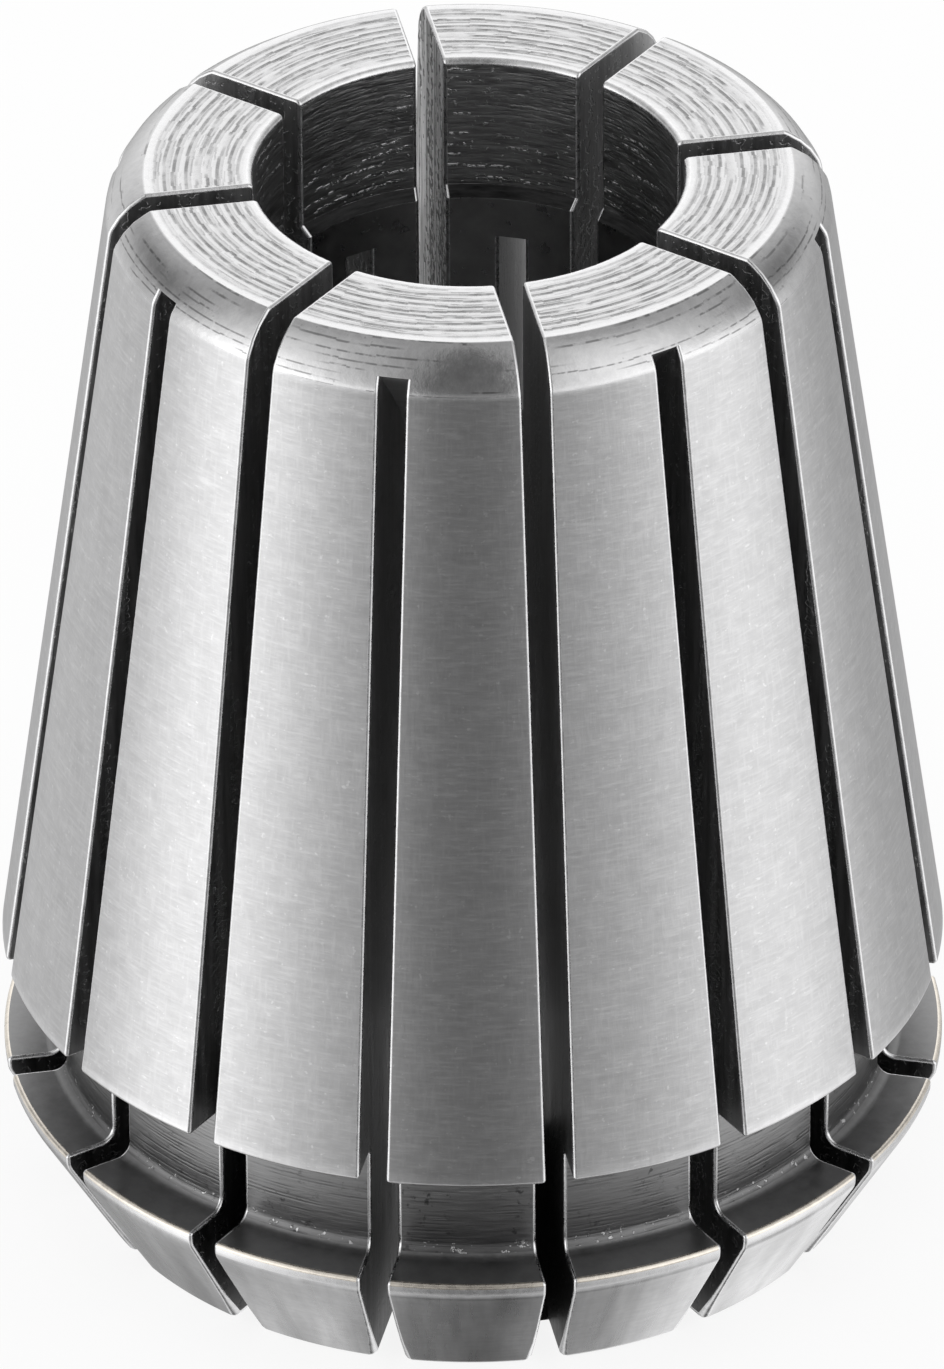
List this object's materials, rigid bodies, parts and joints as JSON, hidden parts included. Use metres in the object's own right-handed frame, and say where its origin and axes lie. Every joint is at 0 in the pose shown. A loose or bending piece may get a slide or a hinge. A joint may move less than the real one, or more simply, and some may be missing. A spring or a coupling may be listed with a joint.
{
  "type": "er collet",
  "caption": "Slotted double-taper spring collet with a straight central bore, an extraction groove and a steep nose cone.",
  "frame": {"origin": "centre of the nose face, the large end that the collet stands on", "axes": "+Z along the bore, from the nose to the small rear end; the first rear slot lies 10.3 degrees from +X towards +Y"},
  "size_m": [0.033, 0.033, 0.04],
  "materials": {
    "collet_steel": "satin ground"
  },
  "bodies": {
    "root": {"collet_body": "collet_steel"}
  },
  "joints": []
}
